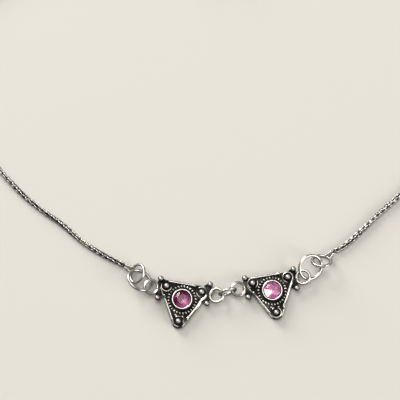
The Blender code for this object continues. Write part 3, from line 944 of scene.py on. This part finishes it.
def hook_line(rings, middle):
    """An S of two round eyes, open on opposite sides and joined across the middle."""
    opening = math.degrees(rings.hook_opening)
    turn = np.linspace(opening, 270, 48)
    half = bearing(turn) * rings.hook_eye + np.array((-rings.hook_spread, 0, 0))
    other = half[::-1] * np.array((-1, -1, 1))
    straight = half[-1] + (other[0] - half[-1]) * np.linspace(0, 1, 14)[1:-1, None]
    return middle + np.concatenate([half, straight, other])


class ANKLET_OT_hook(Operator):
    """Build the S-shaped hook"""

    bl_idname = "anklet.hook"
    bl_label = "Hook"

    def execute(self, context):
        rings = context.scene.anklet_rings
        finish = silver(context, "round wire")
        wire = tube(hook_line(rings, node_middle("clasp_hook")), rings.hook_wire / 2, sides=20)
        piece("round_hook", [wire], [finish], ["clasp_hook"])
        return {"FINISHED"}


def smooth_line(points, count=40):
    """Points along Bezier curves between the given points, with handles a third of the way to a neighbour."""
    padded = np.concatenate([points[:1], points, points[-1:]])
    start, end = points[:-1], points[1:]
    span = np.linalg.norm(end - start, axis=1, keepdims=True) / 3
    leave = start + unit(padded[2:-1] - padded[:-3]) * span
    arrive = end - unit(padded[3:] - padded[1:-2]) * span
    t = np.linspace(0, 1, count, endpoint=False)[:, None, None]
    curve = (1 - t) ** 3 * start + 3 * (1 - t) ** 2 * t * leave + 3 * (1 - t) * t**2 * arrive + t**3 * end
    return np.concatenate([curve.transpose(1, 0, 2).reshape(-1, 3), points[-1:]])


def link_shape(chain, segments=16, sides=5):
    """A long oval drawn on a strip that is folded in two. With u = cos t and f = fold x u, its middle line is
    reach sin f across, sin t (waist + swell (u / 0.8)^5) along the strip's width, and bow (1 - cos f) along
    the chain. The strip's normal and the line's tangent carry the round wire."""
    t = np.arange(segments) * TURN / segments
    u = np.cos(t)
    f = chain.fold * u
    line = np.stack([
        chain.reach * np.sin(f),
        np.sin(t) * (chain.waist + chain.swell * np.abs(u / 0.8) ** 5),
        chain.bow * (1 - np.cos(f)),
    ], -1)
    normal = unit(np.stack([chain.bow * np.sin(f) + 1e-9, np.zeros_like(f), -chain.reach * np.cos(f)], -1))
    along = unit(np.roll(line, -1, 0) - np.roll(line, 1, 0))
    across = unit(np.cross(normal, along))
    normal = np.cross(along, across)
    v = np.arange(sides) * TURN / sides
    wire = across[:, None] * np.cos(v)[:, None] + normal[:, None] * np.sin(v)[:, None]
    return line[:, None] + wire * chain.wire / 2


def chain_links(chain, route, dark_within=0.68, rubbed_over=0.2):
    """Links set a pitch apart along the route and bent with it. Every other one is turned a quarter, and
    they all follow the chain's slow twist. A link is dark within a share of the chain's radius."""
    step = np.linalg.norm(np.diff(route, axis=0), axis=1)
    walked = np.concatenate([[0], np.cumsum(step)])
    link = link_shape(chain)
    reach = link[..., 2].max() - link[..., 2].min()
    total = walked[-1]
    count = int((total - reach) / chain.pitch) + 1
    pitch = (total - reach) / (count - 1)
    start = np.arange(count) * pitch - link[..., 2].min()
    away = start[:, None, None] + link[None, ..., 2]
    heading = unit(np.gradient(route, axis=0))
    place, along = (
        np.stack([np.interp(away, walked, axis) for axis in line.T], -1) for line in (route, heading)
    )
    along = unit(along)
    beside = unit(np.cross(UP, along))
    over = np.cross(along, beside)
    turn = away * chain.twist * TURN + (np.arange(count) % 2 * math.pi / 2)[:, None, None]
    x, y = link[None, ..., 0:1], link[None, ..., 1:2]
    c, s = np.cos(turn)[..., None], np.sin(turn)[..., None]
    points = place + beside * (x * c - y * s) + over * (x * s + y * c)
    outer = np.linalg.norm(link[..., :2], axis=-1) / (chain.diameter / 2)
    wear = np.clip((outer - dark_within) / rubbed_over, 0, 1)
    # Every other link is darker by the chain's dull share.
    return [skin(points[index], wear * (1.0, chain.dull)[index % 2], loop=True) for index in range(count)]


class ANKLET_OT_chains(Operator):
    """Build the two loop-in-loop chains"""

    bl_idname = "anklet.chains"
    bl_label = "Chains"

    def execute(self, context):
        rings, chain = context.scene.anklet_rings, context.scene.anklet_chain
        finish = silver(context, "links")
        loops = end_loops(rings)
        for side in SIDES:
            ends = [cap_line(rings, chain, *loops[f"chain_end_{side}_{end}"])[2] for end in ("front", "back")]
            middle = np.array([(x / 1000, y / 1000, chain.diameter / 2) for x, y in CHAIN_ROUTES[side]])
            route = smooth_line(np.concatenate([ends[:1], middle + MIDDLE_LINK_PLACE, ends[1:]]))
            links = chain_links(chain, route)
            piece("linked_chain_" + side, links, [finish], ["chain_" + side], crease=120)
        return {"FINISHED"}


def lay_floor(scene):
    """One large square under the anklet."""
    mesh = bpy.data.meshes.new("floor")
    square = [(x * FLOOR_REACH, y * FLOOR_REACH, 0) for x, y in ((-1, -1), (1, -1), (1, 1), (-1, 1))]
    mesh.from_pydata(square, [], [(0, 1, 2, 3)])
    mesh.materials.append(floor_finish(scene.anklet_finishes))
    floor = bpy.data.objects.new("floor", mesh)
    scene.collection.objects.link(floor)


def hang_lamp(scene, name, place, width, power):
    """A soft square lamp that faces the anklet."""
    light = bpy.data.lights.new(name, "AREA")
    light.shape, light.size, light.energy = "SQUARE", width, power
    light.color = LAMP_COLOUR
    lamp = bpy.data.objects.new(name, light)
    lamp.location = place
    lamp.rotation_euler = (-Vector(place)).to_track_quat("-Z", "Y").to_euler()
    scene.collection.objects.link(lamp)


def set_sky(scene):
    world = bpy.data.worlds.new("studio")
    world.use_nodes = True
    background = world.node_tree.nodes["Background"]
    background.inputs["Color"].default_value = SKY_COLOUR
    background.inputs["Strength"].default_value = SKY_STRENGTH
    scene.world = world
    scene.view_settings.view_transform = "Standard"


def place_camera(scene):
    """The photo's view, nearly straight down."""
    camera = bpy.data.cameras.new("camera")
    camera.sensor_width, camera.lens = CAMERA_SENSOR, CAMERA_LENS
    camera.clip_start = 0.01
    viewer = bpy.data.objects.new("camera", camera)
    viewer.location = CAMERA_PLACE
    viewer.rotation_euler = (math.radians(CAMERA_TILT), 0, 0)
    scene.collection.objects.link(viewer)
    scene.camera = viewer


class ANKLET_OT_stage(Operator):
    """Build the pale floor, the soft lamps, the sky and the camera"""

    bl_idname = "anklet.stage"
    bl_label = "Stage"

    def execute(self, context):
        lay_floor(context.scene)
        for name, lamp in LAMPS.items():
            hang_lamp(context.scene, name, *lamp)
        set_sky(context.scene)
        place_camera(context.scene)
        return {"FINISHED"}


GROUPS = {
    "anklet_ornament": OrnamentSizes, "anklet_stone": StoneSizes, "anklet_rings": RingSizes,
    "anklet_chain": ChainSizes, "anklet_finishes": Finishes,
}
STEPS = (
    ANKLET_OT_plates, ANKLET_OT_border_wires, ANKLET_OT_balls, ANKLET_OT_bead_rings,
    ANKLET_OT_bezels, ANKLET_OT_stones, ANKLET_OT_rings, ANKLET_OT_chain_ends, ANKLET_OT_hook,
    ANKLET_OT_chains, ANKLET_OT_stage,
)


class ANKLET_PT_panel(Panel):
    """Sizes, colours and the steps that build the anklet"""

    bl_label = "Silver anklet"
    bl_space_type = "VIEW_3D"
    bl_region_type = "UI"
    bl_category = "Anklet"

    def draw(self, context):
        for step in STEPS:
            self.layout.operator(step.bl_idname)
        for name, group in GROUPS.items():
            box = self.layout.box()
            box.label(text=group.__name__)
            for field in group.__annotations__:
                box.prop(getattr(context.scene, name), field)


def register():
    for made in (*GROUPS.values(), *STEPS, ANKLET_PT_panel):
        bpy.utils.register_class(made)
    for name, group in GROUPS.items():
        setattr(bpy.types.Scene, name, PointerProperty(type=group))


def unregister():
    for name in GROUPS:
        delattr(bpy.types.Scene, name)
    for made in reversed((*GROUPS.values(), *STEPS, ANKLET_PT_panel)):
        bpy.utils.unregister_class(made)


def main():
    register()
    for step in STEPS:
        family, name = step.bl_idname.split(".")
        getattr(getattr(bpy.ops, family), name)()


if __name__ == "__main__":
    main()
